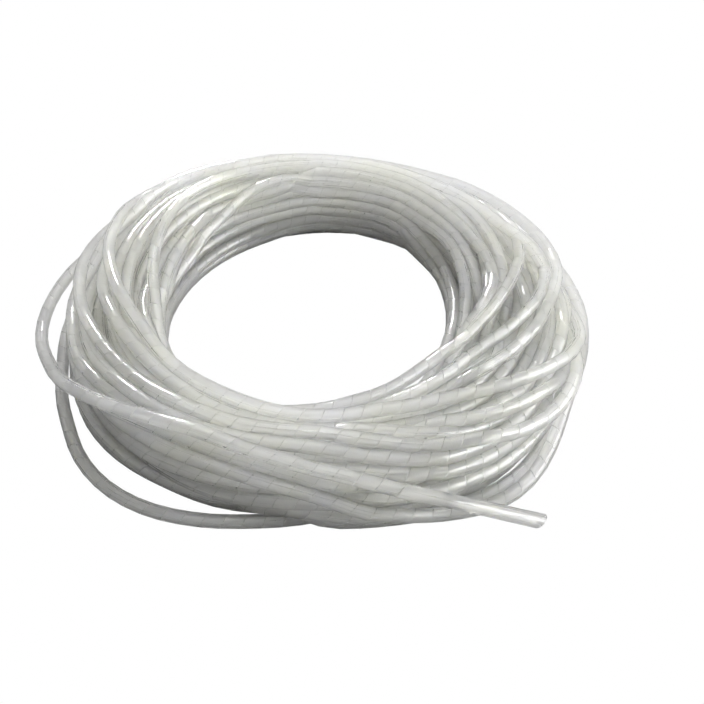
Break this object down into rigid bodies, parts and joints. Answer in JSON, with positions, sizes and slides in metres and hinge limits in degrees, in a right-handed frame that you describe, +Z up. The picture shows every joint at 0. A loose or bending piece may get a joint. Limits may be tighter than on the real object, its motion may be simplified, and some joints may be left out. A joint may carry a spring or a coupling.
{
  "type": "spiral cable wrap",
  "caption": "Flat hand-wound coil of natural translucent spiral cable wrap, with turns sprung loose on one side and a cut free end.",
  "frame": {"origin": "centre of the bounding box, on the plane that the coil lies on", "axes": "+Z up, across the coil's flat side; +X along the coil's longest extent, away from the loose turns; -Y the front, where the free end is"},
  "size_m": [0.2942, 0.2484, 0.0523],
  "materials": {
    "natural_polyethylene": "extruded, milky translucent, with a soft gloss"
  },
  "bodies": {
    "root": {"spiral_wrap_coil": "natural_polyethylene"}
  },
  "joints": []
}
